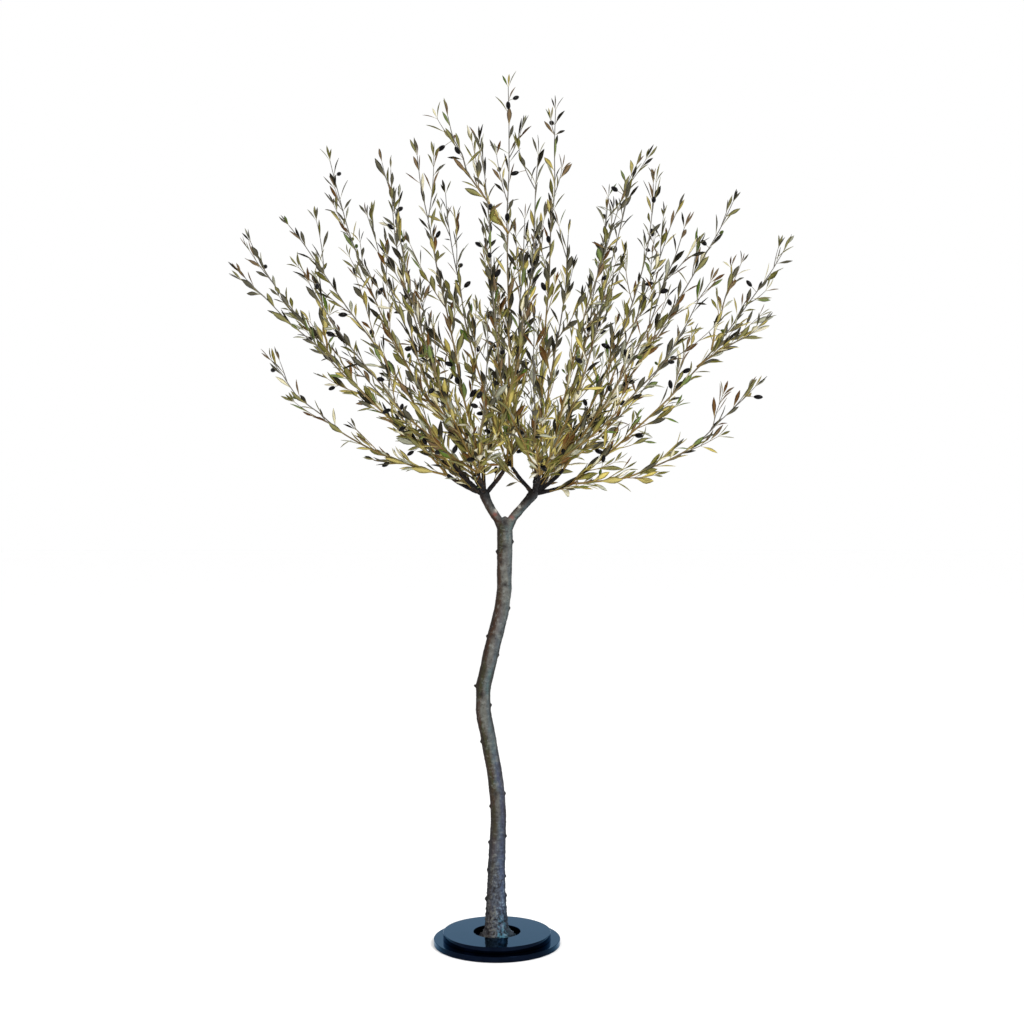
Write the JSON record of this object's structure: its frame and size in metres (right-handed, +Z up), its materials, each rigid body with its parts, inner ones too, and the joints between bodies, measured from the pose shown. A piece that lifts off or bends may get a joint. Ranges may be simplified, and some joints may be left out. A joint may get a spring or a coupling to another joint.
{
  "type": "artificial olive tree",
  "caption": "Artificial olive tree: a crooked trunk that forks into short boughs and an open fan of leafy, fruiting shoots, on a low round stand.",
  "frame": {"origin": "centre of the flat underside of the stand, on the floor", "axes": "+Z up the trunk, -Y towards the front of the tree, +X to the right when it is seen from the front"},
  "size_m": [1.5559, 1.3002, 2.395],
  "materials": {
    "stand": "gloss lacquer, near black with a blue sheen",
    "bark": "rough weathered bark, grey to brown with blue-green patches low down",
    "limb": "dark brown matt bark",
    "foliage": "satin leaves, dusty olive green to silver, with brown and cream ones among them",
    "fruit": "glossy near-black olives"
  },
  "bodies": {
    "root": {"stand_plate": "stand", "stand_ring": "stand", "trunk": "bark", "bough_left": "bark", "bough_right": "bark", "limb_left_back": "limb", "limb_left_front": "limb", "limb_left_inner": "limb", "limb_left_low": "limb", "limb_left_mid": "limb", "limb_left_top": "limb", "limb_right_back": "limb", "limb_right_front": "limb", "limb_right_inner": "limb", "limb_right_low": "limb", "limb_right_mid": "limb", "limb_right_stub": "limb", "limb_right_top": "limb", "foliage_left_back_1": "foliage", "foliage_left_back_2": "foliage", "foliage_left_back_3": "foliage", "foliage_left_back_4": "foliage", "foliage_left_front_1": "foliage", "foliage_left_front_2": "foliage", "foliage_left_front_3": "foliage", "foliage_left_front_4": "foliage", "foliage_left_inner_1": "foliage", "foliage_left_inner_1_side": "foliage", "foliage_left_inner_2": "foliage", "foliage_left_low_1": "foliage", "foliage_left_low_2": "foliage", "foliage_left_mid_1": "foliage", "foliage_left_mid_1_side": "foliage", "foliage_left_mid_2": "foliage", "foliage_left_top_1": "foliage", "foliage_left_top_2": "foliage", "foliage_left_top_3": "foliage", "foliage_left_top_4": "foliage", "foliage_right_back_1": "foliage", "foliage_right_back_2": "foliage", "foliage_right_back_3": "foliage", "foliage_right_back_4": "foliage", "foliage_right_front_1": "foliage", "foliage_right_front_2": "foliage", "foliage_right_front_3": "foliage", "foliage_right_front_4": "foliage", "foliage_right_inner_1": "foliage", "foliage_right_inner_2": "foliage", "foliage_right_low_1": "foliage", "foliage_right_low_1_side_1": "foliage", "foliage_right_low_1_side_2": "foliage", "foliage_right_low_2": "foliage", "foliage_right_mid_1": "foliage", "foliage_right_mid_2": "foliage", "foliage_right_stub_1": "foliage", "foliage_right_stub_2": "foliage", "foliage_right_stub_3": "foliage", "foliage_right_top_1": "foliage", "foliage_right_top_2": "foliage", "foliage_right_top_3": "foliage"}
  },
  "joints": []
}
